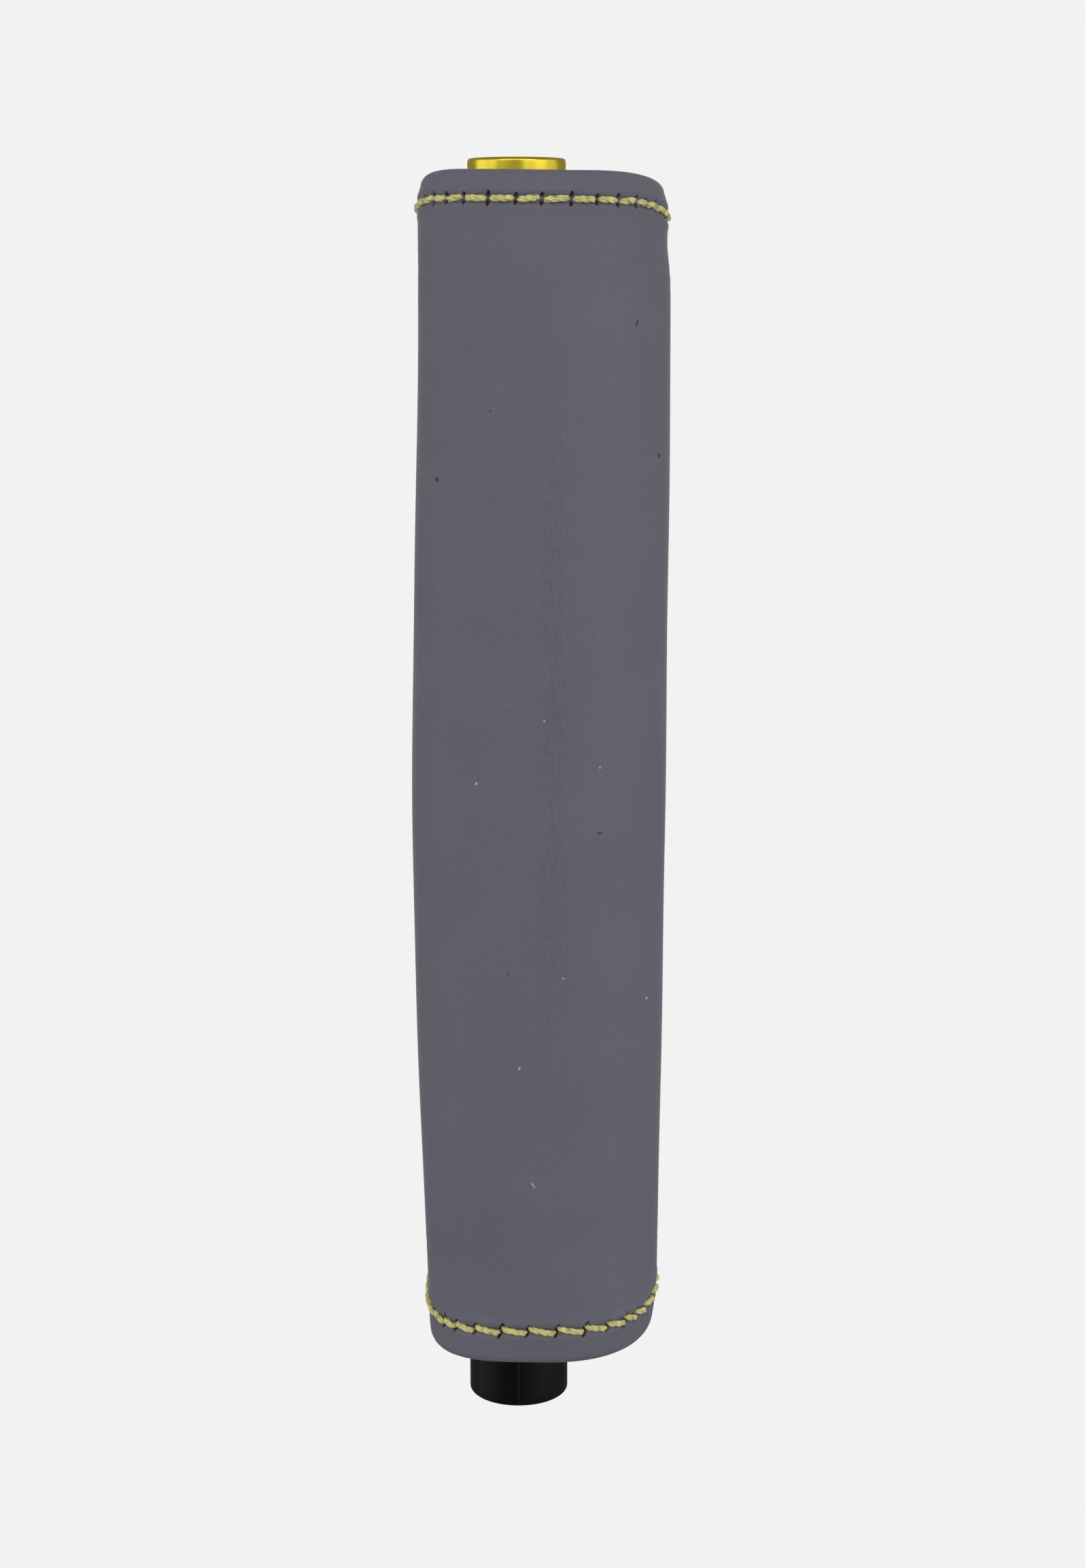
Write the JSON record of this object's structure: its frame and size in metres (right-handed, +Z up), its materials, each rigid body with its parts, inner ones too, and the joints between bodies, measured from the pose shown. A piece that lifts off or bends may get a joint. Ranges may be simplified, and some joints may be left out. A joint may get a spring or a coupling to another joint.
{
  "type": "lever hand grip",
  "caption": "Leather-covered hand grip for a lever, with stitched hems and a sprung metal push button on a long plastic rod.",
  "frame": {"origin": "centre of the push rod's lower end face, on the rod's axis, with the button at rest", "axes": "+Z up the rod's axis towards the button; +X towards the thick side of the padding; +Y towards the cover's back seam"},
  "size_m": [0.0349, 0.0349, 0.17],
  "materials": {
    "leather_grey": "smooth, matte, blue-grey",
    "thread_yellow": "twisted thread",
    "button_gold": "satin, gold anodised",
    "plastic_black": "fine moulded texture",
    "core_plastic": "moulded",
    "foam_dark": "fine closed cells",
    "acetal_white": "natural acetal",
    "steel_bright": "zinc plated",
    "rubber_black": "matte"
  },
  "bodies": {
    "grip": {"leather_cover": "leather_grey", "top_hem_thread": "thread_yellow", "bottom_hem_thread": "thread_yellow", "back_seam_thread": "thread_yellow", "foam_pad": "foam_dark", "grip_core": "core_plastic", "top_plug": "plastic_black", "bottom_plug": "plastic_black", "guide_bush": "acetal_white", "spring_seat": "steel_bright", "return_spring": "steel_bright", "lock_clip": "steel_bright", "clip_rivet": "steel_bright"},
    "plunger": {"push_rod": "plastic_black", "rattle_ring": "rubber_black", "button_stud": "steel_bright", "button_washer": "steel_bright", "push_button": "button_gold"}
  },
  "joints": [
    {"name": "button_press", "type": "slide", "parent": "grip", "child": "plunger", "axis": [0, 0, -1], "range_m": [0, 0.004], "stiffness_N_per_m": 1500, "springref_m": -0.003, "deforming": ["return_spring"]}
  ]
}
